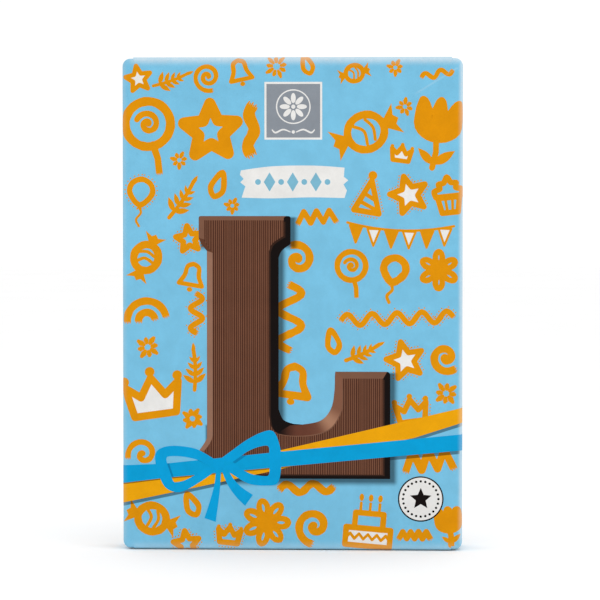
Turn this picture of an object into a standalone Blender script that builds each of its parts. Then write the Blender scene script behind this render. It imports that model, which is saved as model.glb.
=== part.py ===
"""A shut folding carton that holds one chocolate letter, standing on its lower end with its front facing -Y.

The board tube is a slim box with rounded folds. At both ends a closure flap is hinged on the front panel
and glued down over the ends of the tube, so its cut edges stand one board above what they lie on. The tube
itself is glued along one upright seam beside the right-hand rear fold.
"""

import math

import bmesh
import bpy

MM = 0.001

WIDTH = 100.0 * MM
DEPTH = 16.0 * MM
HEIGHT = 145.0 * MM

# The board and how tightly it folds
BOARD = 0.35 * MM
FOLD_RADIUS = 1.0 * MM
FOLD_STEPS = 5
END_RADIUS = 2.3 * MM
END_STEPS = 7

# The closure flaps
FLAP_WIDTH = 93.6 * MM
FLAP_EDGE_SETBACK = 0.8 * MM
FLAP_CORNER_RADIUS = 1.6 * MM
FLAP_CORNER_STEPS = 4

# The glued seam, a narrow groove beside the cut edge of the rear panel
SEAM_WIDTH = 0.35 * MM
SEAM_SETBACK = 1.6 * MM

BLUE = (0.191, 0.546, 0.775, 1.0)
COAT_ROUGHNESS = 0.42

SHARP_FOLD = math.radians(35)
SAME = 1e-6


def clear_scene():
    """Starts from an empty scene."""
    for thing in list(bpy.data.objects):
        bpy.data.objects.remove(thing)


def new_collection(name):
    collection = bpy.data.collections.new(name)
    bpy.context.scene.collection.children.link(collection)
    return collection


def move_to(thing, collection):
    """Makes the collection the only one that holds the object."""
    for held_by in list(thing.users_collection):
        held_by.objects.unlink(thing)
    collection.objects.link(thing)


def make_box(name, low, high, collection):
    """A box between two corners, with its scale applied."""
    middle = [(a + b) / 2 for a, b in zip(low, high)]
    bpy.ops.mesh.primitive_cube_add(size=1.0, location=middle)
    box = bpy.context.active_object
    box.name = name
    box.data.name = name
    box.scale = [b - a for a, b in zip(low, high)]
    bpy.ops.object.transform_apply(location=True, rotation=False, scale=True)
    move_to(box, collection)
    return box


def round_edges(box, chosen, radius, steps):
    """Rounds the edges for which chosen(one end, other end) holds."""
    mesh = bmesh.new()
    mesh.from_mesh(box.data)
    edges = [edge for edge in mesh.edges if chosen(*(corner.co for corner in edge.verts))]
    bmesh.ops.bevel(
        mesh,
        geom=edges,
        offset=radius,
        offset_type="OFFSET",
        segments=steps,
        profile=0.5,
        affect="EDGES",
    )
    mesh.to_mesh(box.data)
    mesh.free()


def combine(box, other, operation):
    """Joins a second solid to the box, or cuts it away."""
    modifier = box.modifiers.new(other.name, "BOOLEAN")
    modifier.operation = operation
    modifier.solver = "EXACT"
    modifier.object = other
    other.hide_render = True
    other.display_type = "WIRE"


def split_evenly(box):
    """Splits the large flat faces into triangles with no sliver among them."""
    modifier = box.modifiers.new("triangles", "TRIANGULATE")
    modifier.ngon_method = "BEAUTY"
    modifier.quad_method = "BEAUTY"


def along_depth(a, b):
    """The four edges that run from front to back."""
    return abs(a.y - b.y) > DEPTH / 2


def round_the_front_or_back(a, b):
    """The two loops that border the front and the back."""
    return abs(a.y - b.y) < SAME and abs(abs(a.y) - DEPTH / 2) < SAME


def hinge_of_a_flap(a, b):
    """The two folds, at the front's upper and lower ends, that carry the closure flaps."""
    return abs(a.x - b.x) > FLAP_WIDTH / 2 and max(a.y, b.y) < 0


def free_corner_of_a_flap(a, b):
    """The upright edges behind, whose ends are the free corners of both closure flaps."""
    return abs(a.z - b.z) > HEIGHT / 2 and min(a.y, b.y) > 0


def make_tube(collection):
    """The tube of board, shut at both ends by what lies under the closure flaps."""
    tube = make_box(
        "carton",
        (-WIDTH / 2, -DEPTH / 2, BOARD),
        (WIDTH / 2, DEPTH / 2, HEIGHT - BOARD),
        collection,
    )
    round_edges(tube, along_depth, END_RADIUS, END_STEPS)
    round_edges(tube, round_the_front_or_back, FOLD_RADIUS, FOLD_STEPS)
    return tube


def make_closures(collection):
    """The front panel with its two closure flaps, as one block that stands one board above the tube's ends."""
    closures = make_box(
        "closure_flaps",
        (-FLAP_WIDTH / 2, -DEPTH / 2, 0.0),
        (FLAP_WIDTH / 2, DEPTH / 2 - FLAP_EDGE_SETBACK, HEIGHT),
        collection,
    )
    round_edges(closures, hinge_of_a_flap, FOLD_RADIUS, FOLD_STEPS)
    round_edges(closures, free_corner_of_a_flap, FLAP_CORNER_RADIUS, FLAP_CORNER_STEPS)
    return closures


def make_seam(collection):
    """The cutter of the groove along the glued seam."""
    right = WIDTH / 2 - SEAM_SETBACK
    return make_box(
        "glued_seam",
        (right - SEAM_WIDTH, DEPTH / 2 - BOARD, -BOARD),
        (right, DEPTH / 2 + BOARD, HEIGHT + BOARD),
        collection,
    )


def printed_board():
    """Coated board printed light blue."""
    material = bpy.data.materials.new("printed_board")
    material.use_nodes = True
    shader = material.node_tree.nodes["Principled BSDF"]
    shader.inputs["Base Color"].default_value = BLUE
    shader.inputs["Metallic"].default_value = 0.0
    shader.inputs["Roughness"].default_value = COAT_ROUGHNESS
    return material


def main():
    clear_scene()
    parts = new_collection("chocolate_letter_carton")
    cutters = new_collection("cutters")
    carton = make_tube(parts)
    combine(carton, make_closures(cutters), "UNION")
    combine(carton, make_seam(cutters), "DIFFERENCE")
    split_evenly(carton)
    carton.data.materials.append(printed_board())
    carton.data.shade_smooth()
    carton.data.set_sharp_from_angle(angle=SHARP_FOLD)


main()
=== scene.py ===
"""The looks of a shut folding carton for a chocolate letter.

The board is modelled as folded board. Each printed ink lies on it as a thin film of its own, drawn flat on
the carton's blank and then wrapped around the folds. Lengths are in millimetres unless a comment says so.
"""

import math
from typing import NamedTuple

import bmesh
import bpy
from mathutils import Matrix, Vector
from mathutils.geometry import delaunay_2d_cdt


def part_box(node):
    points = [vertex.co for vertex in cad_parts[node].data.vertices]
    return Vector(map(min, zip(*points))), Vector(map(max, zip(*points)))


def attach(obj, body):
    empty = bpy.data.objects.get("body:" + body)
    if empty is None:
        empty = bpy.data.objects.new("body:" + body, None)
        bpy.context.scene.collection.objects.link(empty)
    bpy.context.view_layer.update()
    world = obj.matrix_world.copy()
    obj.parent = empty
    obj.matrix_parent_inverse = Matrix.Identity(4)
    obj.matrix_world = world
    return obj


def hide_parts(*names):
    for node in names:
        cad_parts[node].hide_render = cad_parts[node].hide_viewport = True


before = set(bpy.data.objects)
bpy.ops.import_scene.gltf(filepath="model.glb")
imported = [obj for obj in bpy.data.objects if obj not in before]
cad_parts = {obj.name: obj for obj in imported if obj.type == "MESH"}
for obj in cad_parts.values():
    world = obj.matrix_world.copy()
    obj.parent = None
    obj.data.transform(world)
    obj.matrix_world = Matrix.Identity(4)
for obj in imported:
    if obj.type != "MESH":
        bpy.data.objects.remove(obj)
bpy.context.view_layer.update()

MM = 0.001

# The carton, from the frame
_, CARTON_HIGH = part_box("carton")
HALF_WIDTH = CARTON_HIGH.x / MM
HALF_DEPTH = CARTON_HIGH.y / MM
HEIGHT = CARTON_HIGH.z / MM
MIDDLE = HEIGHT / 2

# The board lies this far inside the frame, which leaves room for the films of ink
INK_ROOM = 0.06
SUNK = 0.01

# The board, its folds and its closure flaps
BOARD = 0.35
FOLD = 1.0
FOLD_STEPS = 8
END_RADIUS = 2.3
END_STEPS = 9
FLAP_HALF_WIDTH = 46.8 - INK_ROOM
FLAP_EDGE_SETBACK = 0.8
FLAP_CORNER = 1.6
FLAP_CORNER_STEPS = 6
SEAM_WIDTH = 0.35
SEAM_SETBACK = 1.6
SHARP_FOLD = math.radians(35)
FLAT_NORMAL = 0.9999
SAME = 1e-7
NEAR = 0.01

# The blank: distances on the board from the front's middle
QUARTER = FOLD * math.pi / 2
FLAT_ACROSS = HALF_WIDTH - INK_ROOM - FOLD
FLAT_UP = MIDDLE - INK_ROOM - FOLD
FLAT_SIDE = 2 * (HALF_DEPTH - INK_ROOM - FOLD)
TO_BACK = FLAT_ACROSS + QUARTER + FLAT_SIDE + QUARTER
BACK_MIDDLE = TO_BACK + FLAT_ACROSS


class Mark(NamedTuple):
    """A stroke or a filled outline of a motif.

    Its pen is a share of the motif's pen, and 0 fills it. A stroke is frayed at its end, or at both ends.
    """

    points: list
    pen: float = 1.0
    closed: bool = False
    ink: str = "orange"
    taper: float = 0.0
    dotted: bool = False
    frayed: int = 0


# Curves and outlines on the blank


def curve(points, steps=6, closed=False):
    """Points of a smooth curve through the given ones."""
    count = len(points)
    made = []
    for span in range(count if closed else count - 1):
        near = (k % count if closed else min(max(k, 0), count - 1) for k in range(span - 1, span + 3))
        a, b, c, d = (Vector(points[k]) for k in near)
        for step in range(steps):
            t = step / steps
            held = b * 2 + (c - a) * t + (a * 2 - b * 5 + c * 4 - d) * t * t
            made.append((held + (b * 3 - a - c * 3 + d) * t**3) / 2)
    if not closed:
        made.append(Vector(points[-1]))
    return [(p.x, p.y) for p in made]


def arc(centre, radius, start, end, steps):
    """Points of an arc between two angles in degrees."""
    turns = [math.radians(start + (end - start) * k / steps) for k in range(steps + 1)]
    return [(centre[0] + radius * math.cos(a), centre[1] + radius * math.sin(a)) for a in turns]


def oval(centre, across, up, steps=20, tilt=0.0):
    """Points round an ellipse."""
    turns = [math.tau * k / steps for k in range(steps)]
    return placed([(across * math.cos(a), up * math.sin(a)) for a in turns], centre, 1, tilt)


def rectangle(left, low, right, high):
    return [(left, low), (right, low), (right, high), (left, high)]


def round_rectangle(left, low, right, high, radius, steps=4):
    made = []
    for k, corner in enumerate(rectangle(left + radius, low + radius, right - radius, high - radius)):
        made += arc(corner, radius, 180 + 90 * k, 270 + 90 * k, steps)
    return made


def mirrored(points):
    """The points on the other side of the middle line, the last one first."""
    return [(-x, y) for x, y in points[::-1]]


def cells_between(one, other, steps=6):
    """The cells of a strip between two curves, each through as many points as the other."""
    first, last = curve(one, steps), curve(other, steps)
    cells = []
    for k in range(len(first) - 1):
        cells += [[first[k], first[k + 1], last[k + 1]], [first[k], last[k + 1], last[k]]]
    return cells


def placed(points, at, size=1.0, turn=0.0):
    """The points scaled, turned by degrees and moved to their place."""
    cos = size * math.cos(math.radians(turn))
    sin = size * math.sin(math.radians(turn))
    return [(at[0] + x * cos - y * sin, at[1] + x * sin + y * cos) for x, y in points]


def area_of(outline):
    """The area of an outline, which is positive where it runs counter-clockwise."""
    following = outline[1:] + outline[:1]
    return sum(a[0] * b[1] - b[0] * a[1] for a, b in zip(outline, following)) / 2


# Strokes of a brush

BRUSH_RIPPLE = 0.07
SHARP_TURN = math.cos(math.radians(32))
BRISTLES = ((-0.8, 0.3), (-0.48, 0.62), (-0.16, 0.34), (0.15, 0.7), (0.47, 0.36), (0.79, 0.55))
BRISTLE = 0.19
DOT = 0.23
DOT_SPACING = 0.9
DOT_CLEAR = 0.5
SMALLEST_CELL = 1e-5


def widths_along(points, pen, taper):
    """Half of the stroke's width at each point: a hand's pressure is never quite even."""
    last = max(len(points) - 1, 1)
    made = []
    for k, (x, y) in enumerate(points):
        ripple = math.sin(1.9 * x + 0.7 * k) * math.sin(1.3 * y - 0.4 * k)
        thinner = taper * (1 - math.sin(math.pi * k / last))
        made.append(pen / 2 * (1 + BRUSH_RIPPLE * ripple) * (1 - thinner))
    return made


def directions_along(points, closed):
    """The stroke's direction at each point, and whether it turns sharply there."""
    count = len(points)
    made = []
    for k in range(count):
        before = Vector(points[k - 1] if closed or k else points[k])
        here = Vector(points[k])
        after = Vector(points[(k + 1) % count] if closed or k < count - 1 else points[k])
        came, goes = (here - before).normalized(), (after - here).normalized()
        sharp = came.length > 0 and goes.length > 0 and came.dot(goes) < SHARP_TURN
        made.append(((came + goes).normalized(), sharp))
    return made


def bristle_marks(point, direction, half):
    """The streaks in which a loaded brush leaves the board."""
    side = Vector((-direction.y, direction.x)) * half
    width = side * BRISTLE
    made = []
    for across, along in BRISTLES:
        foot = point + side * across - direction * half * 0.3
        tip = foot + direction * half * (along + 0.3)
        made.append([tuple(p) for p in (foot - width, tip - width / 2, tip + width / 2, foot + width)])
    return made


def stroke_cells(points, pen, closed=False, taper=0.0, frayed=0):
    """Small outlines that cover a stroke together."""
    halves = widths_along(points, pen, taper)
    directions = directions_along(points, closed)
    cells = [oval(p, half, half, 14) for p, half, turn in zip(points, halves, directions) if turn[1]]
    count = len(points)
    for k in range(count if closed else count - 1):
        n = (k + 1) % count
        own = (Vector(points[n]) - Vector(points[k])).normalized()
        sides = []
        for end in (k, n):
            direction, sharp = directions[end]
            across = own if sharp else direction
            side = Vector((-across.y, across.x)) * halves[end]
            sides.append((tuple(Vector(points[end]) + side), tuple(Vector(points[end]) - side)))
        (a, b), (c, d) = sides
        cells += [[a, b, d], [a, d, c]]
    if not closed:
        for end, sign, needed in ((0, -1, 2), (-1, 1, 1)):
            if frayed >= needed:
                cells += bristle_marks(Vector(points[end]), directions[end][0] * sign, halves[end])
            else:
                cells.append(oval(points[end], halves[end], halves[end], 14))
    return cells


def dots_beside(points, pen, closed):
    """A dotted line along a stroke: round a closed one, and on both sides of an open one."""
    cells = []
    outer = -1 if area_of(points) > 0 else 1
    for side in (outer,) if closed else (-1, 1):
        walked = 0.0
        for ends in zip(points, points[1:] + points[: int(closed)]):
            a, b = map(Vector, ends)
            step = (b - a).length
            if step == 0:
                continue
            normal = Vector((a.y - b.y, b.x - a.x)) / step * side * (pen / 2 + DOT_CLEAR)
            while walked < step:
                cells.append(oval(a.lerp(b, walked / step) + normal, DOT, DOT, 7))
                walked += DOT_SPACING
            walked -= step
    return cells


def facing_out(cells):
    """The cells turned counter-clockwise, without the ones that have no area."""
    kept = []
    for cell in cells:
        area = area_of(cell)
        if abs(area) > SMALLEST_CELL:
            kept.append(cell if area > 0 else cell[::-1])
    return kept


def mark_cells(mark, points, pen):
    """The cells of a placed mark. The medium pen dots its outline too."""
    if not mark.pen:
        return [points]
    width = pen * mark.pen
    cells = stroke_cells(points, width, mark.closed, mark.taper, mark.frayed)
    if mark.dotted and pen == MEDIUM:
        cells += dots_beside(points, width, mark.closed)
    return cells


# The blank and how it folds


def bent(distance, flat, height):
    """How far across and back a distance leads from a panel's middle, over its fold and down behind it."""
    angle = min(max(distance - flat, 0.0), QUARTER) / FOLD
    across = min(distance, flat) + (FOLD + height) * math.sin(angle)
    return across, FOLD - (FOLD + height) * math.cos(angle) + max(distance - flat - QUARTER, 0.0)


def around(distance, height):
    """The same all the way round the tube, where the back panel mirrors the front."""
    if distance <= TO_BACK - QUARTER:
        return bent(distance, FLAT_ACROSS, height)
    across, back = bent(BACK_MIDDLE - distance, FLAT_ACROSS, height)
    return across, 2 * FOLD + FLAT_SIDE - back


def wrapped(u, v, height):
    """The point in metres to which a point of the blank comes, that far above the board."""
    front = INK_ROOM - HALF_DEPTH
    up = abs(v - MIDDLE)
    if up > FLAT_UP:
        across, back = bent(up, FLAT_UP, height)
        point = Vector((u, front + back, MIDDLE + math.copysign(across, v - MIDDLE)))
    else:
        across, back = around(abs(u), height)
        point = Vector((math.copysign(1, u) * across, front + back, v))
    return point * MM


def on_back(x, v):
    """The place on the blank of a point of the back panel, x to the right as the front is looked at."""
    return -BACK_MIDDLE - x, v


# The parts of the blank that take print
SEAM_RIGHT = HALF_WIDTH - SEAM_SETBACK
SEAM_LEFT = SEAM_RIGHT - SEAM_WIDTH
BLANK_LEFT = -BACK_MIDDLE - SEAM_LEFT
BLANK_RIGHT = TO_BACK + FLAT_ACROSS - SEAM_RIGHT
TUBE_HIGH = HEIGHT - BOARD - INK_ROOM
TUBE_LOW = BOARD + INK_ROOM
FLAP_LENGTH = HALF_DEPTH * 2 - FLAP_EDGE_SETBACK - 2 * INK_ROOM - FOLD
FLAP_END = FLAT_UP + QUARTER + FLAP_LENGTH
PRINTED = [
    rectangle(BLANK_LEFT, TUBE_LOW + END_RADIUS, BLANK_RIGHT, TUBE_HIGH - END_RADIUS),
    rectangle(-FLAP_HALF_WIDTH, MIDDLE - FLAP_END, FLAP_HALF_WIDTH, MIDDLE + FLAP_END),
    round_rectangle(-FLAT_ACROSS, TUBE_LOW + FOLD, FLAT_ACROSS, TUBE_HIGH - FOLD, END_RADIUS - FOLD),
    round_rectangle(BLANK_LEFT, TUBE_LOW + FOLD, -TO_BACK, TUBE_HIGH - FOLD, END_RADIUS - FOLD),
]


def fold_lines():
    """The places across and up the blank where its films are split, so that they bend with the board."""
    steps = [QUARTER * k / FOLD_STEPS for k in range(FOLD_STEPS + 1)]
    across = [FLAT_ACROSS + s for s in steps] + [TO_BACK - s for s in steps]
    up = [FLAT_UP + s for s in steps]
    return across + [-u for u in across], [MIDDLE + v for v in up] + [MIDDLE - v for v in up]


def triangles_of(cells, inside):
    """Points and triangles of all the cells together, split along the folds and cut to what takes print."""
    regions = [*PRINTED, *inside]
    points, faces = [], []
    for outline in regions + cells:
        faces.append(list(range(len(points), len(points) + len(outline))))
        points += [Vector(p) for p in outline]
    left, low = (min(p[axis] for cell in cells for p in cell) - 0.1 for axis in (0, 1))
    right, high = (max(p[axis] for cell in cells for p in cell) + 0.1 for axis in (0, 1))
    across, up = fold_lines()
    lines = [((u, low), (u, high)) for u in across if left < u < right]
    lines += [((left, v), (right, v)) for v in up if low < v < high]
    edges = []
    for line in lines:
        edges.append((len(points), len(points) + 1))
        points += [Vector(end) for end in line]
    found, _, triangles, _, _, sources = delaunay_2d_cdt(points, edges, faces, 1, SAME)
    printed, clips = set(range(len(PRINTED))), set(range(len(PRINTED), len(regions)))
    kept = []
    for triangle, source in zip(triangles, sources):
        source = set(source)
        if source & printed and max(source) >= len(regions) and (not clips or source & clips):
            kept.append(triangle)
    return found, kept


def new_object(name, data):
    thing = bpy.data.objects.new(name, data)
    bpy.context.scene.collection.objects.link(thing)
    return thing


def smooth_folds(mesh):
    """Shades the folds smoothly and leaves the panels flat."""
    shape = bmesh.new()
    shape.from_mesh(mesh)
    for face in shape.faces:
        face.smooth = True
    for edge in shape.edges:
        flat = {max(abs(part) for part in face.normal) > FLAT_NORMAL for face in edge.link_faces}
        edge.smooth = len(flat) == 1 and edge.calc_face_angle(math.pi) < SHARP_FOLD
    shape.to_mesh(mesh)
    shape.free()


def film(name, cells, level, material, inside=()):
    """A thin closed film of ink that covers the cells, with its upper face at a level above the board."""
    flat, triangles = triangles_of(facing_out(cells), inside)
    order = {index: k for k, index in enumerate(sorted({i for t in triangles for i in t}))}
    count = len(order)
    tops = [tuple(order[i] for i in t) for t in triangles]
    rims = {(t[k], t[(k + 1) % 3]) for t in tops for k in range(3)}
    rims = [(a, b) for a, b in rims if (b, a) not in rims]
    faces = tops + [tuple(i + count for i in reversed(t)) for t in tops]
    faces += [(b, a, a + count, b + count) for a, b in sorted(rims)]
    places = [wrapped(*flat[index], height) for height in (level, -SUNK) for index in order]
    mesh = bpy.data.meshes.new(name)
    mesh.from_pydata(places, [], faces)
    smooth_folds(mesh)
    mesh.materials.append(material)
    piece = new_object(name, mesh)
    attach(piece, "root")


# The board


def box_mesh(low, high):
    mesh = bmesh.new()
    bmesh.ops.create_cube(mesh, size=1.0)
    for corner in mesh.verts:
        for axis in range(3):
            corner.co[axis] = (low[axis] if corner.co[axis] < 0 else high[axis]) * MM
    return mesh


def round_edges(mesh, chosen, radius, steps):
    """Rounds the edges for which chosen(one end, other end) holds, with lengths in millimetres."""
    edges = [e for e in mesh.edges if chosen(*(corner.co / MM for corner in e.verts))]
    bmesh.ops.bevel(mesh, geom=edges, offset=radius * MM, segments=steps, profile=0.5, affect="EDGES")


def solid(name, mesh):
    """An object of the mesh, which is then let go."""
    data = bpy.data.meshes.new(name)
    mesh.to_mesh(data)
    mesh.free()
    return new_object(name, data)


def combine(piece, other, operation):
    """Joins a second solid to the piece, or cuts it away, and removes it."""
    modifier = piece.modifiers.new(other.name, "BOOLEAN")
    modifier.operation = operation
    modifier.solver = "EXACT"
    modifier.object = other
    bpy.context.view_layer.update()
    shape = bpy.data.meshes.new_from_object(piece.evaluated_get(bpy.context.evaluated_depsgraph_get()))
    piece.modifiers.remove(modifier)
    piece.data = shape
    bpy.data.objects.remove(other)


def tube_of_board():
    wide, deep = HALF_WIDTH - INK_ROOM, HALF_DEPTH - INK_ROOM
    mesh = box_mesh((-wide, -deep, TUBE_LOW), (wide, deep, TUBE_HIGH))
    round_edges(mesh, lambda a, b: abs(a.y - b.y) > deep, END_RADIUS, END_STEPS)
    round_edges(mesh, lambda a, b: abs(a.y - b.y) < NEAR and abs(abs(a.y) - deep) < NEAR, FOLD, FOLD_STEPS)
    return solid("carton_board", mesh)


def closures_of_board():
    """The front panel with its two closure flaps, as a block that stands one board above the tube's ends."""
    behind = HALF_DEPTH - FLAP_EDGE_SETBACK - INK_ROOM
    low = (-FLAP_HALF_WIDTH, INK_ROOM - HALF_DEPTH, INK_ROOM)
    mesh = box_mesh(low, (FLAP_HALF_WIDTH, behind, HEIGHT - INK_ROOM))
    round_edges(mesh, lambda a, b: abs(a.x - b.x) > HALF_WIDTH and a.y < 0, FOLD, FOLD_STEPS)
    round_edges(mesh, lambda a, b: abs(a.z - b.z) > MIDDLE and a.y > 0, FLAP_CORNER, FLAP_CORNER_STEPS)
    return solid("closures", mesh)


def seam_cutter():
    low, high = (SEAM_LEFT, HALF_DEPTH - INK_ROOM - BOARD, -1), (SEAM_RIGHT, HALF_DEPTH + 1, HEIGHT + 1)
    return solid("glued_seam", box_mesh(low, high))


def is_cut_edge(centre):
    """Whether a face's middle lies on the board's cut edge: a flap's rim or the seam's groove."""
    in_groove = SEAM_LEFT - NEAR < centre.x < SEAM_RIGHT + NEAR
    if in_groove and HALF_DEPTH - 2 * BOARD < centre.y < HALF_DEPTH - INK_ROOM - NEAR:
        return True
    on_rim = MIDDLE - TUBE_LOW < abs(centre.z - MIDDLE) < MIDDLE - INK_ROOM - NEAR
    return on_rim and centre.y > 1.1 * FOLD - HALF_DEPTH


def make_board(printed, bare):
    piece = tube_of_board()
    combine(piece, closures_of_board(), "UNION")
    combine(piece, seam_cutter(), "DIFFERENCE")
    piece.data.materials.clear()
    piece.data.materials.append(printed)
    piece.data.materials.append(bare)
    for face in piece.data.polygons:
        face.material_index = int(is_cut_edge(Vector(face.center) / MM))
    smooth_folds(piece.data)
    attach(piece, "root")
    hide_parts("carton")


# Festive motifs, each about two units across


def swirl(turns=1.6):
    steps = int(26 * turns)
    made = []
    for k in range(steps + 1):
        t = k / steps
        made += placed([(0.06 + 0.94 * t, 0)], (0, 0), 1, 360 * turns * t)
    return [Mark(made, frayed=1)]


def lollipop():
    spiral = [p for mark in swirl(1.4) for p in placed(mark.points, (0, 0), 0.5)]
    stick = Mark([(0.0, -0.9), (0.05, -1.5), (-0.03, -2.1)], 0.6, frayed=1)
    return [Mark(oval((0, 0), 0.95, 0.95, 34), 0.75, closed=True), Mark(spiral, 0.5), stick]


def star_points(points=5, inner=0.46):
    turns = [math.pi / 2 + math.pi * k / points for k in range(2 * points)]
    sizes = [1.0, inner] * points
    return [(r * math.cos(a), r * math.sin(a)) for r, a in zip(sizes, turns)]


def star():
    return [Mark(star_points(), closed=True, dotted=True)]


def filled(motif):
    """The motif with white inside its first outline."""
    return [Mark(motif[0].points, 0, ink="white"), *motif]


def bell():
    half = [(0, 0.95), (-0.4, 0.72), (-0.5, 0.1), (-0.82, -0.52)]
    skin = curve(half, 5) + curve(mirrored(half), 5)
    return [Mark(skin, closed=True, dotted=True), Mark(oval((0, -0.86), 0.2, 0.17, 14), 0)]


def crown():
    rim = [(-0.72, -0.62), (0.72, -0.62), (0.92, 0.42), (0.42, 0.02), (0, 0.66), (-0.42, 0.02), (-0.92, 0.42)]
    balls = [Mark(oval((x, y + 0.2), 0.17, 0.17, 14), 0) for x, y in rim[2::2]]
    return [Mark(rim, closed=True, dotted=True), *balls]


def sweet():
    wing = [(0.5, 0.06), (1.0, 0.46), (0.9, 0.14), (1.02, 0.0), (0.9, -0.14), (1.0, -0.46), (0.5, -0.06)]
    return [
        Mark(oval((0, 0), 0.54, 0.5, 26), closed=True, dotted=True),
        Mark(wing, 0),
        Mark(mirrored(wing), 0),
        Mark(curve([(-0.26, 0.28), (-0.04, 0.04), (-0.1, -0.34)], 5), 0.42),
        Mark(curve([(0.12, 0.34), (0.24, 0.04), (0.16, -0.3)], 5), 0.42),
    ]


def balloon():
    half = [(0, 1.05), (-0.6, 0.75), (-0.7, 0.1), (0, -0.6)]
    skin = curve(half + mirrored(half[1:-1]), 6, True)
    string = [(0.13 * math.sin(7 * t), -0.8 - 1.15 * t) for t in (k / 20 for k in range(21))]
    knot = [(0, -0.55), (-0.2, -0.86), (0.2, -0.86)]
    return [Mark(skin, closed=True, dotted=True), Mark(knot, 0), Mark(string, 0.42)]


def leaf(foot, length, turn):
    half = [(0, 0), (0.3, 0.17), (0.65, 0.16), (1, 0)]
    outline = curve(half, 3) + curve([(x, -y) for x, y in half[::-1]], 3)[1:-1]
    return Mark(placed(outline[::-1], foot, length, turn), 0)


def sprig(pairs=4):
    stem = [(0.12 * math.sin(2.4 * t), -1 + 2 * t) for t in (k / 12 for k in range(13))]
    made = [Mark(stem, 0.7)]
    for k in range(pairs):
        foot = stem[2 + 2 * k]
        size = 0.72 - 0.1 * k
        made += [leaf(foot, size, 38 + 4 * k), leaf(foot, size, 142 - 4 * k)]
    return made + [leaf(stem[-2], 0.5, 90)]


def daisy(petals=7):
    made = [Mark(oval((0, 0), 0.36, 0.36, 20), 0)]
    for k in range(petals):
        turn = 90 + 360 * k / petals
        middle = placed([(0.7, 0)], (0, 0), 1, turn)[0]
        made.append(Mark(oval(middle, 0.34, 0.2, 14, turn), 0.75, closed=True, dotted=True))
    return made


def bunting(flags=6):
    """Small flags on a hanging string, one unit apart."""
    string = [(x, 1.4 * (x / flags) ** 2 - 0.35) for x in (flags * (k / 20 - 0.5) for k in range(21))]
    made = [Mark(string, 0.55)]
    for k in range(flags):
        middle = k - flags / 2 + 0.5
        top = 1.4 * (middle / flags) ** 2 - 0.4
        flag = [(middle - 0.36, top), (middle, top - 0.95), (middle + 0.36, top)]
        made += [Mark(flag, 0, ink="white" if k % 2 else "orange"), Mark(flag, 0.5, closed=True)]
    return made


def cake():
    lower, upper = rectangle(-0.95, -1.0, 0.95, -0.25), rectangle(-0.6, -0.25, 0.6, 0.4)
    icing = [(-0.95 + 0.19 * k, -0.5 if k % 2 else -0.72) for k in range(11)]
    made = [Mark(lower, 0, ink="white"), Mark(icing, 0.5)]
    made += [Mark(tier, closed=True) for tier in (lower, upper)]
    for x in (-0.4, 0.0, 0.4):
        made += [Mark([(x, 0.4), (x, 0.82)], 0.5), Mark(oval((x, 1.06), 0.1, 0.16, 12), 0)]
    return made


def burst(rays=9):
    """Short strokes all round a bare middle."""
    made = []
    for k in range(rays):
        turn = 360 * k / rays + 12
        end = 1.0 if k % 2 else 0.78
        made.append(Mark(placed([(0.42, 0), (0.7, 0.02), (end, 0)], (0, 0), 1, turn), taper=0.35))
    return made


def zigzag(teeth=4, height=0.22):
    points = [(-1 + k / teeth, height if k % 2 else -height) for k in range(2 * teeth + 1)]
    return [Mark(points, frayed=2)]


def wave(waves=2.5, height=0.2):
    steps = int(16 * waves)
    line = [(2 * k / steps - 1, height * math.sin(math.tau * waves * k / steps)) for k in range(steps + 1)]
    return [Mark(line, frayed=2, dotted=True)]


def rainbow():
    return [Mark(arc((0, -0.45), radius, 6, 174, 20), frayed=2) for radius in (1, 0.42)]


def party_hat():
    cone = [(0, 0.75), (-0.62, -0.8), (0.62, -0.8)]
    stripes = [Mark([(-0.2, 0.05), (0.3, -0.16)], 0.7), Mark([(-0.36, -0.36), (0.4, -0.62)], 0.7)]
    return [Mark(cone, closed=True, dotted=True), *stripes, Mark(oval((0, 1.0), 0.22, 0.22, 14), 0)]


def cupcake():
    cup = [(-0.62, -0.1), (-0.45, -0.95), (0.45, -0.95), (0.62, -0.1)]
    half = [(-0.72, -0.04), (-0.78, 0.3), (-0.45, 0.42), (-0.5, 0.68), (-0.2, 0.74), (0, 1.05)]
    cream = curve(half + mirrored(half[:-1]), 4)
    made = [Mark(cup, closed=True), Mark(cream, closed=True)]
    return made + [Mark([(x, -0.2), (x * 0.75, -0.85)], 0.5) for x in (-0.2, 0.2)]


def tulip():
    half = [(0, -0.2), (-0.6, 0.1), (-0.56, 0.95), (-0.22, 0.52), (0, 1.0)]
    cup = curve(half + mirrored(half[1:-1]), 5, True)
    stem = Mark([(0, -0.2), (0.05, -0.6), (0, -1.1)], 0.8)
    leaves = [leaf((0.02, -1.0), 0.8, 40), leaf((0.02, -1.0), 0.7, 140)]
    return [Mark(cup, 0), Mark(cup, closed=True), stem, *leaves]


def drop():
    half = [(0, 1.0), (-0.42, 0.1), (-0.42, -0.45), (0, -0.85)]
    return [Mark(curve(half + mirrored(half[1:-1]), 5, True), closed=True)]


BOLD = 3.5
BROAD = 2.3
MEDIUM = 1.7
FINE = 1.35

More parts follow.
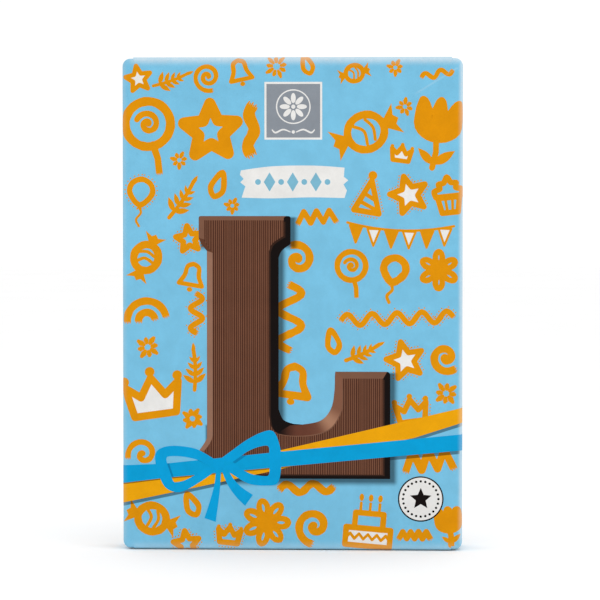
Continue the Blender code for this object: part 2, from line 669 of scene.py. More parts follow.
# The front's motifs by pen: the motif, its middle on the blank, half its size and its turn
FRONT_MOTIFS = {}
FRONT_MOTIFS[BOLD] = [
    (lollipop(), -42.4, 125.4, 7.0, 14), (star(), -23.9, 123.3, 8.2, 2),
    (wave(1.5, 0.12), -12.0, 123.6, 7.0, 88),
]
FRONT_MOTIFS[BROAD] = [
    (sweet(), 21.6, 123.0, 10.2, 24), (tulip(), 42.4, 122.8, 9.4, -8), (swirl(1.2), 1.6, 85.6, 4.6, 40),
    (lollipop(), 17.4, 83.8, 4.4, 10), (balloon(), 29.8, 81.6, 4.4, -12), (daisy(6), 43.0, 82.6, 5.2, 0),
    (wave(2, 0.36), -0.7, 68.6, 9.6, 90), (bell(), 0.2, 48.8, 5.8, -8), (swirl(1.3), 45.0, 57.0, 4.4, 200),
    (sweet(), -43.0, 86.2, 7.2, 66), (rainbow(), -43.2, 70.2, 5.8, 8), (filled(crown()), -41.0, 45.2, 8.6, 8),
    (sweet(), -41.4, 9.2, 7.8, -18), (daisy(), -7.6, 8.2, 6.2, 12), (swirl(1.3), 6.6, 7.2, 5.4, 150),
    (wave(2, 0.16), 4.2, 18.4, 7.8, 2), (zigzag(3, 0.4), 40.2, 26.8, 7.0, 4), (tulip(), 46.2, 7.2, 4.9, 6),
]
FRONT_MOTIFS[MEDIUM] = [
    (balloon(), -44.6, 104.4, 4.6, -6), (sprig(), -32.8, 103.4, 6.4, -32), (drop(), -21.8, 107.4, 4.0, -20),
    (party_hat(), 22.6, 104.4, 6.0, -10), (filled(star()), 34.2, 104.6, 5.6, 16),
    (cupcake(), 45.8, 104.4, 5.2, 6), (zigzag(3, 0.3), 7.2, 98.2, 5.6, 3),
    (wave(4.5, 0.1), 30.8, 68.4, 16.4, 2), (drop(), 12.0, 61.4, 3.6, 12), (sprig(), 20.6, 58.6, 5.4, -62),
    (filled(star()), 33.2, 56.0, 5.6, 14), (crown(), 35.0, 41.2, 5.0, 8), (burst(8), 45.2, 46.4, 3.2, 70),
    (burst(8), -42.6, 59.8, 3.2, 0), (star(), -30.4, 91.6, 3.9, 8), (wave(2, 0.3), -28.2, 69.8, 5.8, 90),
    (sprig(), -29.2, 53.2, 6.0, 4), (swirl(1.2), -44.0, 28.2, 4.6, 120), (burst(8), -29.4, 38.8, 3.0, 0),
    (drop(), -29.6, 13.2, 3.6, 24), (star(), -31.2, 1.6, 4.0, 8), (crown(), -18.6, 4.4, 3.6, -6),
    (cake(), 22.6, 8.2, 6.9, -5), (zigzag(4), 36.0, 4.6, 4.6, 0), (bell(), -19.6, 152.6, 3.8, 0),
    (swirl(), -5.0, 152.4, 3.8, 60), (star(), 17.5, 152.6, 4.0, 12), (swirl(1.2), 38.4, 152.0, 3.6, 0),
    (sweet(), -25.0, -8.0, 6.0, 10), (star(), 4.0, -8.2, 4.2, 0), (wave(), 30.0, -7.6, 8.0, 0),
]
FRONT_MOTIFS[FINE] = [
    (filled(star()), -45.2, 138.6, 3.9, 10), (sprig(), -35.8, 138.6, 5.4, -68),
    (swirl(1.8), -24.8, 139.2, 4.2, 0), (bell(), -15.2, 140.4, 3.9, 12), (burst(), -4.6, 142.2, 3.3, 0),
    (drop(), 4.4, 142.6, 3.0, 20), (sweet(), 18.2, 140.2, 4.7, 14), (burst(7), 30.2, 141.8, 2.3, 0),
    (wave(2, 0.2), 42.4, 140.0, 4.6, 12), (burst(7), -33.2, 114.8, 2.4, 0), (burst(7), 33.0, 130.4, 2.4, 20),
    (filled(crown()), 32.0, 116.6, 3.2, -8), (burst(7), -17.6, 101.4, 2.2, 0),
    (bunting(6), 31.8, 96.0, 5.2, -2), (bell(), -29.6, 80.4, 4.2, -10), (sprig(), -36.0, 152.4, 4.6, 80),
]

# The sides and the back repeat these, row by row
REPEATED = [star(), swirl(1.3), bell(), daisy(6), crown()]
REPEATED += [sweet(), burst(8), sprig(3), balloon(), filled(star())]
ROW_HEIGHT = 16.2
LOWEST_ROW = 8.2
ROWS = 9
SIDE_MIDDLE = (FLAT_ACROSS + TO_BACK) / 2
BACK_COLUMNS = (-40.5, -24.3, -8.1, 8.1, 24.3, 40.5)
BACK_PANEL = (-31.0, 52.5, 31.0, 118.0)
PANEL_CLEAR = 7.0


def repeated_motifs():
    """The motifs of both sides and of the back, round the plain panel there."""
    made = []
    for row in range(ROWS):
        v = LOWEST_ROW + ROW_HEIGHT * row
        for side, shift in ((-1, 0), (1, 4)):
            motif = REPEATED[(3 * row + shift) % len(REPEATED)]
            made.append((motif, side * SIDE_MIDDLE, v + shift - 2, 5.0, side * 9 * (row % 3), MEDIUM))
        for column, x in enumerate(BACK_COLUMNS):
            beside = abs(x) > BACK_PANEL[2] + PANEL_CLEAR
            if beside or not BACK_PANEL[1] - PANEL_CLEAR < v < BACK_PANEL[3] + PANEL_CLEAR:
                motif = REPEATED[(7 * row + 3 * column) % len(REPEATED)]
                pen = BROAD if (row + column) % 2 else MEDIUM
                made.append((motif, *on_back(x, v), 5.8, 23 * column - 11 * row, pen))
    return made


# The picture of the chocolate letter

LETTER_TOP = 98.4
LETTER_LOW = 21.15
BEVEL = 1.25
RIB_PITCH = 0.62
RIB_WIDTH = 0.2

# Where the stem widens, downwards, on the outline and on the face
UPPER_NOTCH = [(-27.5, 92.0), (-26.7, 90.2), (-25.1, 88.2)]
UPPER_NOTCH_FACE = [(-26.0, 91.6), (-25.0, 89.8), (-23.4, 87.6)]
LOWER_NOTCH = [(-25.1, 33.0), (-26.0, 31.4), (-27.4, 29.4)]
LOWER_NOTCH_FACE = [(-23.4, 33.8), (-24.2, 31.6), (-26.0, 29.2)]

# The bevel where the foot turns up: its outer and its inner curve, downwards
TURN_OUTER = [(13.0, 52.7), (12.6, 52.2), (12.4, 46.8), (11.4, 41.8), (8.4, 38.3), (3.0, 37.1)]
TURN_INNER = [(14.7, 50.7), (14.9, 45.4), (14.4, 41.0), (11.6, 36.2), (6.6, 34.1), (0.0, 33.7), (-4.6, 34.4)]


# The left sides of the outline and of the ribbed face, downwards
LETTER_LEFT = arc((-26.9, LETTER_TOP - 0.6), 0.6, 90, 180, 3)
LETTER_LEFT += curve(UPPER_NOTCH, 3) + curve(LOWER_NOTCH, 3)
FACE_LEFT = [(-26.0, LETTER_TOP - BEVEL), *curve(UPPER_NOTCH_FACE, 3)]
FACE_LEFT += [*curve(LOWER_NOTCH_FACE, 3), (-26.0, LETTER_LOW + BEVEL)]

# The right sides of the outline and of the stem's face, upwards
LETTER_RIGHT = [(28.8, LETTER_LOW), *arc((27.8, 51.7), 1.0, 0, 90, 4), *curve(TURN_OUTER, 5)]
LETTER_RIGHT += curve([(0.4, 37.3), (-2.6, 38.5), (-4.0, 41.6)], 4)
LETTER_RIGHT += curve([(-4.0, 86.2), (-3.0, 88.3), (-0.5, 90.2)], 4)
LETTER_RIGHT += arc((-1.1, LETTER_TOP - 0.6), 0.6, 0, 90, 3)
STEM_RIGHT = curve([(-5.0, 34.9), (-6.3, 36.8), (-6.85, 40.0)], 4)
STEM_RIGHT += curve([(-6.85, 88.0), (-5.8, 90.4), (-2.5, 92.6)], 4)

FACE = [*FACE_LEFT, (26.7, LETTER_LOW + BEVEL), (26.7, 50.7), *curve(TURN_INNER, 5)]
FACE += [*STEM_RIGHT, (-2.5, LETTER_TOP - BEVEL)]

# The face with the bevels that catch the light, to its left and above it
LIT = [*LETTER_LEFT, (-27.3, LETTER_LOW + BEVEL), (26.7, LETTER_LOW + BEVEL), (26.7, 50.7), (27.9, 52.7)]
LIT += [*curve(TURN_OUTER, 5), (-0.6, 36.9), (-4.0, 34.4)]
LIT += [*STEM_RIGHT, (-2.5, LETTER_TOP - 0.5), (-1.8, LETTER_TOP)]

# The stem's left bevel and the lower serif's face the light, and the foot's bevel turns up with its end
STEM_BEVEL = [LOWER_NOTCH[0], LOWER_NOTCH_FACE[0], UPPER_NOTCH_FACE[-1], UPPER_NOTCH[-1]]
BRIGHT_BEVELS = [STEM_BEVEL, *cells_between(LOWER_NOTCH, LOWER_NOTCH_FACE, 3)]
FOOT_BEVEL = [(14.9, 50.9), *curve(TURN_INNER[1:], 5), (-0.6, 36.9)]
FOOT_BEVEL += curve(TURN_OUTER, 5)[::-1]


def ribs(offset):
    """Upright ribs across the whole letter: one strip for each pitch, of uneven width and place."""
    made = []
    for k in range(int(60 / RIB_PITCH)):
        strength = 0.5 + 0.5 * math.sin(2.7 * k + 1.1) * math.sin(1.3 * k)
        x = -28.5 + RIB_PITCH * (k + offset) + 0.07 * math.sin(5.1 * k)
        width = RIB_WIDTH * (0.55 + 0.75 * strength)
        made.append(rectangle(x - width / 2, 20, x + width / 2, 99))
    return made


# The ribbons and the bow


# Both ribbons go all round the carton, from the seam behind to the seam: their low and their high side
CYAN_LOW = [(-TO_BACK, 19.6), (-49.9, 19.7), (-38.0, 21.2), (-3.5, 24.6), (49.2, 29.6), (BLANK_RIGHT, 31.4)]
CYAN_HIGH = [(BLANK_RIGHT, 35.9), (49.2, 34.3), (-3.5, 29.1), (-38.0, 25.4), (-49.9, 24.9), (-TO_BACK, 24.6)]
CYAN_RIBBON = [(BLANK_LEFT, 31.4), *CYAN_LOW, *CYAN_HIGH, (BLANK_LEFT, 35.9)]
GOLDEN_LOW = [(-TO_BACK, 11.0), (-49.9, 13.9), (-31.0, 17.9), (-22.7, 19.7), (-3.5, 23.9), (15.0, 28.9)]
GOLDEN_LOW += [(35.9, 33.3), (49.6, 37.7), (BLANK_RIGHT, 42.0)]
GOLDEN_HIGH = [(BLANK_RIGHT, 46.4), (49.2, 42.0), (-3.5, 29.5), (-22.7, 25.0), (-38.0, 21.6), (-49.9, 19.9)]
GOLDEN_RIBBON = [(BLANK_LEFT, 42.0), *GOLDEN_LOW, *GOLDEN_HIGH, (-TO_BACK, 16.8), (BLANK_LEFT, 46.4)]

BOW_KNOT = (-21.7, 25.3)
# Each loop's outer and inner curve
LEFT_LOOP = [
    (-22.2, 26.4), (-27.8, 29.6), (-32.7, 30.6), (-37.2, 30.5), (-40.0, 29.0), (-40.4, 26.2),
    (-39.2, 21.6), (-37.2, 18.2), (-34.0, 17.0), (-30.8, 17.9), (-26.4, 20.6), (-22.2, 23.6),
], [
    (-25.0, 25.1), (-28.2, 26.7), (-32.7, 27.6), (-36.3, 27.6), (-37.1, 27.0), (-36.9, 25.5),
    (-36.0, 22.8), (-35.1, 20.3), (-34.0, 20.0), (-31.6, 20.6), (-28.4, 22.3), (-25.0, 24.5),
]
RIGHT_LOOP = [
    (-21.6, 26.6), (-17.4, 29.7), (-13.5, 32.5), (-9.0, 34.8), (-5.6, 35.1), (-3.7, 31.0),
    (-3.2, 25.7), (-4.2, 20.0), (-7.6, 19.1), (-13.0, 19.7), (-18.7, 23.0), (-21.6, 24.4),
], [
    (-17.6, 26.0), (-15.3, 27.6), (-12.8, 29.3), (-9.8, 30.5), (-7.1, 30.7), (-6.8, 28.0),
    (-6.7, 25.0), (-6.9, 22.3), (-8.4, 21.9), (-12.1, 22.5), (-15.3, 24.1), (-17.6, 25.4),
]
LOOP_SHADE = (0.75, -0.45)


LEFT_END = (
    [(-22.4, 24.6), (-22.9, 19.6), (-24.2, 14.6), (-25.9, 9.4)],
    [(-20.9, 24.6), (-21.2, 19.4), (-21.8, 14.0), (-22.6, 8.3)],
)
RIGHT_END = (
    [(-21.2, 24.6), (-19.2, 19.6), (-16.6, 15.8), (-13.9, 13.1)],
    [(-19.4, 24.6), (-17.4, 21.2), (-15.0, 18.6), (-11.6, 16.3)],
)


def bow_cells():
    """Two flat loops, a small knot and two loose ends that are cut straight."""
    strips = [cells_between(*strip) for strip in (LEFT_LOOP, RIGHT_LOOP, LEFT_END, RIGHT_END)]
    return sum(strips, []) + [oval(BOW_KNOT, 1.7, 1.6, 20)]


def loop_shades():
    """What the loops shade on the ribbon behind them."""
    insides = LEFT_LOOP[1], RIGHT_LOOP[1]
    return sum((cells_between(inner, placed(inner, LOOP_SHADE)) for inner in insides), [])


# The label and the banner

LABEL = (-8.15, 120.8, 8.8, 137.7)
LABEL_LINE = 0.6
BANNER_MIDDLE = (0.15, 108.3)


def frame_cells(box, width):
    """The four sides of a frame, inwards from a box."""
    left, low, right, high = box
    level = [rectangle(left, v, right, v + width) for v in (low, high - width)]
    return level + [rectangle(u, low, u + width, high) for u in (left, right - width)]


def label_ornament():
    """A plain rosette in a ring, over a curling rule."""
    middle = ((LABEL[0] + LABEL[2]) / 2, (LABEL[1] + LABEL[3]) / 2 + 1.2)
    low = (middle[0], middle[1] - 7.4)
    cells = [oval(at, 1.5, 0.72, 16, 45 * k) for k, at in enumerate(oval(middle, 2.5, 2.5, 8))]
    cells += [oval(middle, 0.62, 0.62, 14), oval(low, 0.5, 0.5, 12)]
    cells += stroke_cells(oval(middle, 4.9, 4.9, 48), 0.36, closed=True)
    for side in (-1, 1):
        curl = [(0.9 * side, 0.0), (3.0 * side, 0.7), (5.2 * side, -0.2), (6.2 * side, 0.6)]
        cells += stroke_cells(curve(placed(curl, low), 5), 0.5, taper=0.4)
    return cells


def banner_outline():
    """A broad brush stroke with ragged ends."""
    top = curve([(-15.2, 3.5), (-6.0, 4.7), (6.0, 4.9), (15.2, 4.3)], 4)
    right = [(15.0, 1.6), (16.3, 0.6), (14.9, -0.6), (15.9, -2.4), (15.2, -4.6)]
    low = curve([(15.2, -4.6), (5.0, -4.4), (-6.0, -4.7), (-15.0, -4.5)], 4)[1:]
    left = [(-14.4, -2.6), (-13.9, -1.2), (-15.4, 0.0), (-14.4, 1.0), (-15.5, 2.2)]
    return placed(top + right + low + left, BANNER_MIDDLE)[::-1]


def banner_ornament():
    dot, lozenge = oval((0, 0), 0.85, 0.85, 18), [(0, -2.8), (1.7, 0), (0, 2.8), (-1.7, 0)]
    x, y = BANNER_MIDDLE
    return [placed(dot if k % 2 else lozenge, (x + 3.4 * k, y + 0.1)) for k in range(-3, 4)]


def back_rules():
    """A frame just inside the panel and plain rules in two columns."""
    left, low, right, high = BACK_PANEL
    cells = frame_cells((left + 1.6, low + 1.6, right - 1.6, high - 1.6), 0.3)
    for start, end in ((left + 4.5, -1.8), (1.8, right - 4.5)):
        for k in range(18):
            v = high - 6.5 - 3.05 * k
            short = 0.45 if k % 6 == 5 else 0.0
            cells.append(rectangle(start, v - 0.16, end - (end - start) * short, v + 0.16))
    return [[on_back(x, v) for x, v in cell] for cell in cells]


BADGE = (37.8, 15.3)
BADGE_RADIUS = 6.7
BADGE_DOTS = 24


def badge_ornament():
    rim = oval(BADGE, BADGE_RADIUS - 0.2, BADGE_RADIUS - 0.2, 60)
    cells = stroke_cells(rim, 0.4, closed=True)
    cells += [oval(at, 0.36, 0.36, 10) for at in oval(BADGE, 5.2, 5.2, BADGE_DOTS)]
    return cells + [placed(star_points(), BADGE, 3.3)]


# Materials


def reckoned(operation):
    """A method that adds a node for this operation."""
    return lambda value, other=0.0: value.graph.math(operation, value, other)


class Value:
    """What a node gives out. Reckoning with it adds nodes to its tree."""

    __add__ = reckoned("ADD")
    __sub__ = reckoned("SUBTRACT")
    __mul__ = reckoned("MULTIPLY")
    __lt__ = reckoned("LESS_THAN")
    __gt__ = reckoned("GREATER_THAN")
    __abs__ = reckoned("ABSOLUTE")

    def __init__(self, graph, socket):
        self.graph = graph
        self.socket = socket

    def __rsub__(self, other):
        return self.graph.math("SUBTRACT", other, self)


class Graph:
    """A node tree with a short way to add a node and link what goes into it."""

    def __init__(self, tree):
        self.tree = tree

    def link(self, results, node):
        for name, value in results.items():
            self.tree.links.new(value.socket, node.inputs[name])

    def add(self, kind, inputs=(), output=0, **settings):
        node = self.tree.nodes.new(kind)
        for name, value in settings.items():
            setattr(node, name, value)
        for key, value in dict(inputs).items():
            if isinstance(value, Value):
                self.link({key: value}, node)
            else:
                node.inputs[key].default_value = value
        return Value(self, node.outputs[output])

    def math(self, operation, a, b=0.0):
        return self.add("ShaderNodeMath", {0: a, 1: b}, operation=operation)

    def total(self, operation, values):
        """The least or the greatest of several values."""
        made = values[0]
        for value in values[1:]:
            made = self.math(operation, made, value)
        return made

    def range(self, value, low, high, to_low=0.0, to_high=1.0, kind="LINEAR"):
        inputs = {"Value": value, "From Min": low, "From Max": high, "To Min": to_low, "To Max": to_high}
        return self.add("ShaderNodeMapRange", inputs, interpolation_type=kind)

    def step(self, value, low, high):
        """0 below low, 1 above high and smooth between."""
        return self.range(value, low, high, kind="SMOOTHSTEP")

    def noise(self, place, size, detail=2.0, roughness=0.5):
        """Noise whose features are about as large as size, in millimetres."""
        inputs = {"Vector": place, "Scale": 1 / (size * MM), "Detail": detail, "Roughness": roughness}
        return self.add("ShaderNodeTexNoise", inputs)

    def mix(self, share, a, b):
        """A blend of two colours, each a value or its red, green and blue."""
        a, b = (c if isinstance(c, Value) else (*c, 1.0) for c in (a, b))
        return self.add("ShaderNodeMix", {0: share, 6: a, 7: b}, output=2, data_type="RGBA")

    def shared(self, group, output):
        """One output of a shared group of nodes."""
        return self.add("ShaderNodeGroup", output=output, node_tree=bpy.data.node_groups[group])

    def give(self, results):
        """Makes the tree a group with these outputs."""
        for name in results:
            self.tree.interface.new_socket(name, in_out="OUTPUT", socket_type="NodeSocketFloat")
        self.link(results, self.tree.nodes.new("NodeGroupOutput"))


def in_millimetres(graph):
    place = graph.add("ShaderNodeTexCoord", output=3)
    larger = graph.add("ShaderNodeVectorMath", {0: place, 1: (1 / MM,) * 3}, operation="MULTIPLY")
    parts = graph.tree.nodes.new("ShaderNodeSeparateXYZ")
    graph.link({0: larger}, parts)
    return place, [Value(graph, part) for part in parts.outputs]


def new_group(name):
    return Graph(bpy.data.node_groups.new(name, "ShaderNodeTree"))


def new_material(name, roughness):
    material = bpy.data.materials.new(name)
    material.use_nodes = True
    shader = material.node_tree.nodes["Principled BSDF"]
    shader.inputs["Specular IOR Level"].default_value = SPECULAR
    shader.inputs["Roughness"].default_value = roughness
    return material, Graph(material.node_tree), shader


def toned(colour, share):
    return tuple(min(part * share, 1.0) for part in colour)


# The boxes that make up the pictured letter, as left, low, right and high
LETTER_BOXES = (
    (-25.1, 22.0, -4.0, 98.0),
    (-27.5, 90.5, -0.5, LETTER_TOP),
    (-26.0, LETTER_LOW, 28.8, 37.2),
    (12.5, LETTER_LOW, 28.8, 52.7),
)
LIT_SIDE = 2.2
SHADE_SHIFT = (0.9, -0.7)
SHADE_START = -0.3
SHADE_REACH = 1.9
RIBBON_SHADE = 1.0
THIN_SHADE = 0.4


def distance_to_box(x, z, box):
    """How far a place of the front is from a rectangle, more steeply where the light comes from."""
    left, low, right, high = box
    across = x.graph.total("MAXIMUM", [(left - x) * LIT_SIDE, x - right, 0.0])
    up = x.graph.total("MAXIMUM", [low - z, (z - high) * LIT_SIDE, 0.0])
    return x.graph.math("SQRT", across * across + up * up)


def below_line(x, z, start, end, width):
    """1 in a band of the given width under a line, and over it too, where the ribbon covers it."""
    slope = (end[1] - start[1]) / (end[0] - start[0])
    over = z - (x * slope + (start[1] - slope * start[0] - width))
    return x.graph.step(over, -0.12, 0.12) * (over < width * 2.2) * (x > start[0]) * (x < end[0])


def shade_group():
    """The printed shadows of the pictured letter and of the ribbons, from 0 to 1, on the front alone."""
    graph = new_group("printed_shadows")
    _, (x, y, z) = in_millimetres(graph)
    moved = x - SHADE_SHIFT[0], z - SHADE_SHIFT[1]
    nearest = graph.total("MINIMUM", [distance_to_box(*moved, box) for box in LETTER_BOXES])
    golden, cyan = GOLDEN_LOW[1:], CYAN_LOW[:5]
    shades = {"Letter": 1.0 - graph.step(nearest, SHADE_START, SHADE_REACH)}
    for name, lines, width in (
        ("Ribbon", [*zip(golden, golden[1:]), *zip(cyan[1:], cyan[2:])], RIBBON_SHADE),
        ("Golden", [*zip(cyan, cyan[1:])], THIN_SHADE),
    ):
        shades[name] = graph.total("MAXIMUM", [below_line(x, z, *ends, width) for ends in lines])
    graph.give({name: shade * (y < FOLD - HALF_DEPTH) for name, shade in shades.items()})


# The faint crease beside the upper right corner, where the ink is broken
CREASE_START = Vector((35.1, 133.6))
CREASE_END = Vector((48.5, 141.8))
CREASE_INK = 0.45
CREASE_WEAR = 0.2


def crease_share(x, z):
    """How much of the ink is broken at a place along the crease."""
    along = (CREASE_END - CREASE_START).normalized()
    right, up = x - CREASE_START.x, z - CREASE_START.y
    walked, aside = right * along.x + up * along.y, up * along.x - right * along.y
    line = 1.0 - x.graph.step(abs(aside), 0.05, CREASE_INK)
    before = walked < (CREASE_END - CREASE_START).length
    return line * x.graph.step(walked, 0.0, 3.0) * before * CREASE_WEAR


# Worn folds paled further by a painted highlight, and painted shade along the low edge, with lengths in
# millimetres
HIGHLIGHT_AND_WEAR_REACH = 3.2
SIDE_HIGHLIGHT_AND_WEAR_REACH = 1.8
HIGHLIGHT_AND_WEAR_FALL = 1.25
FOLD_WEAR_AND_HIGHLIGHT = 0.72
LEFT_WEAR_AND_HIGHLIGHT = 0.3
ORANGE_WEAR_AND_HIGHLIGHT = 0.3
RIBBON_WEAR_AND_HIGHLIGHT = 0.22
# The pale tone of the folds: wear, and a painted highlight where the folds catch the light
PALE_WEAR_AND_HIGHLIGHT = (0.70, 0.73, 0.74)
# Painted shade along the low edge: its colour, how high it reaches and how strong it is
PAINTED_BASE_SHADE = (0.1, 0.13, 0.14)
BASE_SHADE_HEIGHT = 0.8
BASE_SHADE_SHARE = 0.75


def wear_and_highlight_group():
    """How near a place is to one of the carton's folds, from 0 to 1, for wear and a painted highlight, less
    so at its foot and on its left, which lie in shade; and where the painted shade along the low edge lies.
    """
    graph = new_group("folds")
    place, (x, y, z) = in_millimetres(graph)
    near = [
        graph.step(abs(value), half - reach, half - INK_ROOM)
        for value, half, reach in (
            (x, HALF_WIDTH, SIDE_HIGHLIGHT_AND_WEAR_REACH),
            (y, HALF_DEPTH, SIDE_HIGHLIGHT_AND_WEAR_REACH),
            (z - MIDDLE, MIDDLE, HIGHLIGHT_AND_WEAR_REACH),
        )
    ]
    pairs = [graph.math("MINIMUM", near[k - 1], near[k]) for k in range(3)]
    edge = graph.math("POWER", graph.total("MAXIMUM", pairs), HIGHLIGHT_AND_WEAR_FALL)
    wear_and_highlight = graph.math("MAXIMUM", edge, crease_share(x, z) * (y < 0.0))
    wear_and_highlight *= graph.range(graph.noise(place, 1.1, 5.0, 0.65), 0.3, 0.7, 0.7)
    # Painted highlight: the folds turned from the light, at the foot and on the left, get less of it
    wear_and_highlight *= graph.range(z, 0.0, 5.0, 0.25)
    wear_and_highlight *= graph.range(x, 2.0 - HALF_WIDTH, 4.0 - HALF_WIDTH, LEFT_WEAR_AND_HIGHLIGHT)
    # Low gives where the painted shade along the low edge lies
    graph.give({"WearAndHighlight": wear_and_highlight, "Low": 1.0 - graph.step(z, 0.1, BASE_SHADE_HEIGHT)})


# The foot's bevel turns up round a middle, and is lightest halfway round
TURN_MIDDLE = (3.0, 46.3)
TURN_WIDTH = 0.4
DARK_FROM = -4.2
DARK_TO = 2.2


def foot_light(graph, ink, x, z):
    """The foot's bevel comes out of the stem's shade, shines where it turns up and dims again."""
    across = graph.math("MAXIMUM", x - TURN_MIDDLE[0], 0.0)
    down = graph.math("MAXIMUM", TURN_MIDDLE[1] - z, 0.0)
    angle = graph.math("ARCTAN2", across, down)
    ink = graph.mix(graph.step(angle, 0.0, 1.0), ink, CHOCOLATE_UP)
    peak = 1.0 - graph.step(abs(angle - math.pi / 4), 0.0, TURN_WIDTH)
    ink = graph.mix(peak, ink, CHOCOLATE_PEAK)
    return graph.mix(1.0 - graph.step(x, DARK_FROM, DARK_TO), ink, CHOCOLATE_DARK)


# How the inks look: the depth of each printed shadow, the mottling and the varnish
SHADE_DEPTHS = {"Letter": 0.84, "Ribbon": 0.68, "Golden": 0.68}
DEEP_SHARE = 0.06
MOTTLE = 0.035
SPECULAR = 0.06
SATIN = 0.4


def print_material(name, colour, wear_and_highlight=FOLD_WEAR_AND_HIGHLIGHT, shades=(), turned_up=False):
    """Ink under a satin varnish: mottled a little, with the board's fibres just felt through it."""
    material, graph, shader = new_material(name, SATIN)
    place, (x, _, z) = in_millimetres(graph)
    cloud = graph.noise(place, 5.0, 3.0, 0.6)
    grain = graph.noise(place, 0.45, 4.0, 0.7)
    ink = graph.mix(graph.range(cloud, 0.3, 0.7), toned(colour, 1 - 2 * MOTTLE), toned(colour, 1 + MOTTLE))
    ink = graph.mix(graph.range(grain, 0.35, 0.75, 0.0, 0.16), ink, toned(colour, 0.72))
    for shade in shades:
        share = graph.shared("printed_shadows", shade) * SHADE_DEPTHS[shade]
        ink = graph.mix(share, ink, toned(colour, DEEP_SHARE))
    if turned_up:
        ink = foot_light(graph, ink, x, z)
    # Paler along the folds: wear, and a painted highlight where the folds catch the light
    ink = graph.mix(graph.shared("folds", "WearAndHighlight") * wear_and_highlight, ink, PALE_WEAR_AND_HIGHLIGHT)
    # Darker along the low edge: painted shade where the carton stands on the floor
    ink = graph.mix(graph.shared("folds", "Low") * BASE_SHADE_SHARE, ink, PAINTED_BASE_SHADE)
    gloss = graph.range(grain, 0.3, 0.7, SATIN - 0.04, SATIN + 0.07)
    fibres = graph.add("ShaderNodeBump", {"Height": grain, "Strength": 0.12, "Distance": 0.00002})
    bump = {"Height": cloud, "Strength": 0.15, "Distance": 0.00006, "Normal": fibres}
    graph.link({"Base Color": ink, "Roughness": gloss, "Normal": graph.add("ShaderNodeBump", bump)}, shader)
    return material


def bare_board():
    material, graph, shader = new_material("bare_board", 0.85)
    place, _ = in_millimetres(graph)
    fibres = graph.noise(place, 0.12, 4.0, 0.7)
    colour = graph.mix(graph.range(fibres, 0.3, 0.7), (0.55, 0.52, 0.46), (0.78, 0.76, 0.7))
    bump = graph.add("ShaderNodeBump", {"Height": fibres, "Strength": 0.4, "Distance": 0.00003})
    graph.link({"Base Color": colour, "Normal": bump}, shader)
    return material


# Levels of the films above the board
WHITE_LEVEL = 0.008
ORANGE_LEVEL = 0.014
LETTER_LEVEL = 0.020
RIBBON_LEVEL = 0.038
STEP = 0.006
LETTER_STEP = 0.0028

BLUE = (0.176, 0.485, 0.69)
ORANGE = (0.68, 0.262, 0.0)
WHITE = (0.747, 0.737, 0.716)
GREY = (0.233, 0.257, 0.29)
GOLD = (0.77, 0.343, 0.001)
CYAN = (0.0, 0.315, 0.615)
BOW_CYAN = (0.0, 0.32, 0.64)
DEEP_CYAN = (0.0, 0.2, 0.42)
CHOCOLATE = (0.108, 0.0405, 0.021)
CHOCOLATE_LIT = (0.18, 0.084, 0.051)
CHOCOLATE_UP = (0.2, 0.085, 0.05)
CHOCOLATE_PEAK = (0.35, 0.178, 0.108)
CHOCOLATE_DARK = (0.005, 0.0025, 0.0022)
PALE_BLUE = (0.18, 0.42, 0.55)

FACE_TURN = (0.5, -0.4)


def print_letter():
    """The picture of the chocolate letter, from its dark sides up to its ribs."""
    layers = (
        ("letter_sides", 0, [LETTER_LEFT + [(-27.3, LETTER_LOW)] + LETTER_RIGHT], CHOCOLATE_DARK),
        ("letter_rounding", 1, [placed(FACE, FACE_TURN)], (0.03, 0.012, 0.007)),
        ("letter_bevels", 2, [LIT], CHOCOLATE_LIT),
        ("letter_foot_bevel", 3, [FOOT_BEVEL], (0.117, 0.039, 0.023)),
        ("letter_bright_bevels", 3, BRIGHT_BEVELS, (0.268, 0.138, 0.09)),
        ("letter_notch", 3, cells_between(UPPER_NOTCH, UPPER_NOTCH_FACE, 3), CHOCOLATE),
        ("letter_face", 4, [FACE], CHOCOLATE),
        ("letter_grooves", 5, ribs(0.5), (0.044, 0.014, 0.008)),
        ("letter_ribs", 5, ribs(0.0), (0.19, 0.081, 0.047)),
        ("letter_ridge", 6, stroke_cells(curve(TURN_INNER, 5), 0.34, taper=0.6), CHOCOLATE_LIT),
    )
    for name, layer, cells, colour in layers:
        material = print_material(name, colour, wear_and_highlight=0.0, turned_up=name == "letter_foot_bevel")
        inside = [FACE] if layer == 5 else []
        film(name, cells, LETTER_LEVEL + layer * LETTER_STEP, material, inside)


def print_ribbons():
    gold = print_material("golden_ink", GOLD, RIBBON_WEAR_AND_HIGHLIGHT, ("Golden",))
    cyan = print_material("cyan_ink", CYAN, RIBBON_WEAR_AND_HIGHLIGHT)
    shade = print_material("cyan_shade", DEEP_CYAN, RIBBON_WEAR_AND_HIGHLIGHT)
    bow = print_material("bow_ink", BOW_CYAN, RIBBON_WEAR_AND_HIGHLIGHT)
    film("golden_ribbon", [GOLDEN_RIBBON], RIBBON_LEVEL, gold)
    film("cyan_ribbon", [CYAN_RIBBON], RIBBON_LEVEL + STEP, cyan)
    film("loop_shades", loop_shades(), RIBBON_LEVEL + 1.4 * STEP, shade, [CYAN_RIBBON])
    film("bow", bow_cells(), RIBBON_LEVEL + 2 * STEP, bow)


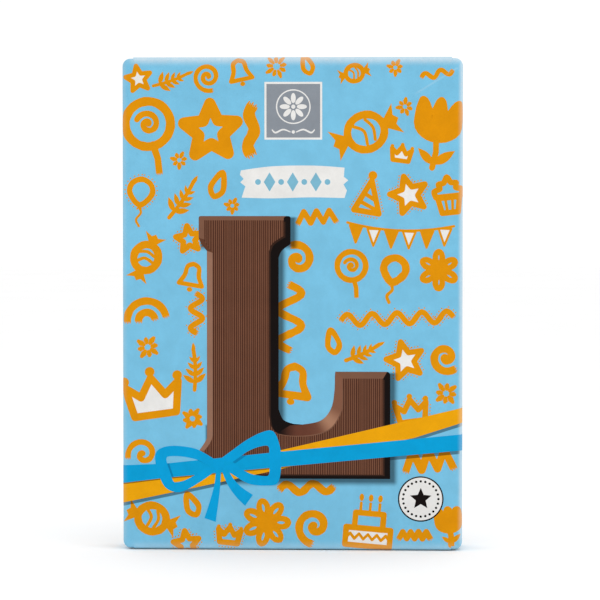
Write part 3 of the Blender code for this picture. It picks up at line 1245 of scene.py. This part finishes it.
def print_label():
    """The label, the banner, the badge and the back's panel, each with what is printed on it."""
    grey = print_material("grey_ink", GREY)
    white = print_material("label_white", WHITE)
    pale = print_material("pale_blue_ink", PALE_BLUE)
    dark = print_material("dark_ink", CHOCOLATE_DARK)
    panel = [on_back(x, v) for x, v in round_rectangle(*BACK_PANEL, 2.5)]
    for name, layer, cells, material, slot in (
        ("label", 0, [rectangle(*LABEL)], grey, "grey_ink"),
        ("label_frame", 1, frame_cells(LABEL, LABEL_LINE), white, "white_ink"),
        ("label_rosette", 1, label_ornament(), white, "white_ink"),
        ("banner", 0, [banner_outline()], white, "white_ink"),
        ("banner_ornament", 1, banner_ornament(), pale, "cyan_ink"),
        ("badge", 0, [oval(BADGE, BADGE_RADIUS, BADGE_RADIUS, 60)], white, "white_ink"),
        ("badge_ornament", 1, badge_ornament(), dark, "chocolate_ink"),
        ("back_panel", 0, [panel], white, "white_ink"),
        ("back_rules", 1, back_rules(), grey, "grey_ink"),
    ):
        film(name, cells, LETTER_LEVEL + layer * STEP, material)


def print_motifs():
    cells = {"orange": [], "white": []}
    front = [(*row, pen) for pen, rows in FRONT_MOTIFS.items() for row in rows]
    for motif, u, v, size, turn, pen in front + repeated_motifs():
        for mark in motif:
            cells[mark.ink] += mark_cells(mark, placed(mark.points, (u, v), size, turn), pen)
    orange = print_material("orange_ink", ORANGE, ORANGE_WEAR_AND_HIGHLIGHT, ("Letter", "Ribbon"))
    white = print_material("white_ink", WHITE, shades=("Letter", "Ribbon"))
    film("white_fills", cells["white"], WHITE_LEVEL, white)
    film("orange_motifs", cells["orange"], ORANGE_LEVEL, orange)


# The stage and the camera

FLOOR_HALF = 3.0
FLOOR_COLOUR = (0.97, 0.97, 0.97)


def make_floor():
    bpy.ops.mesh.primitive_circle_add(vertices=96, radius=FLOOR_HALF, fill_type="NGON")
    floor = bpy.context.active_object
    floor.name = "floor"
    material, graph, shader = new_material("floor", 0.8)
    place, _ = in_millimetres(graph)
    cloud = graph.noise(place, 90.0)
    colour = graph.mix(graph.range(cloud, 0.3, 0.7), toned(FLOOR_COLOUR, 0.98), FLOOR_COLOUR)
    graph.link({"Base Color": colour}, shader)
    floor.data.materials.append(material)


def make_light():
    world = bpy.data.worlds.new("studio")
    world.use_nodes = True
    background = world.node_tree.nodes["Background"]
    background.inputs["Color"].default_value = (1.0, 1.0, 1.0, 1.0)
    background.inputs["Strength"].default_value = 1.04
    bpy.context.scene.world = world
    for name, place, size, power in (
        ("soft_top", (0.15, -0.25, 0.75), 0.5, 0.8),
        ("soft_right", (0.8, -0.55, 0.35), 0.45, 0.6),
    ):
        light = bpy.data.lights.new(name, "AREA")
        light.size = size
        light.energy = power
        lamp = new_object(name, light)
        lamp.location = place
        to_carton = Vector((0, 0, MIDDLE * MM)) - Vector(place)
        lamp.rotation_euler = to_carton.to_track_quat("-Z", "Y").to_euler()
    bpy.context.scene.view_settings.view_transform = "Standard"


CAMERA_DISTANCE = 900.0
CAMERA_AZIMUTH = math.radians(2.48)
CAMERA_ELEVATION = math.radians(2.28)
CAMERA_LENS = 182.26
# The carton isn't quite in the photograph's middle, so the camera aims a little right of it and above it
AIM_RIGHT = 1.96
AIM_UP = 0.96


def make_camera():
    data = bpy.data.cameras.new("camera")
    data.lens = CAMERA_LENS
    camera = new_object("camera", data)
    flat = math.cos(CAMERA_ELEVATION)
    right = Vector((math.cos(CAMERA_AZIMUTH), math.sin(CAMERA_AZIMUTH), 0))
    back = Vector((right.y * flat, -right.x * flat, math.sin(CAMERA_ELEVATION)))
    place = Vector((0, 0, MIDDLE)) + back * CAMERA_DISTANCE
    aim = right * AIM_RIGHT + back.cross(right) * AIM_UP - back * CAMERA_DISTANCE
    camera.location = place * MM
    camera.rotation_mode = "QUATERNION"
    camera.rotation_quaternion = aim.to_track_quat("-Z", "Y")
    bpy.context.scene.camera = camera


def main():
    shade_group()
    wear_and_highlight_group()
    make_camera()
    make_light()
    make_floor()
    make_board(print_material("blue_board", BLUE, shades=("Letter", "Ribbon")), bare_board())
    print_motifs()
    print_letter()
    print_label()
    print_ribbons()


main()
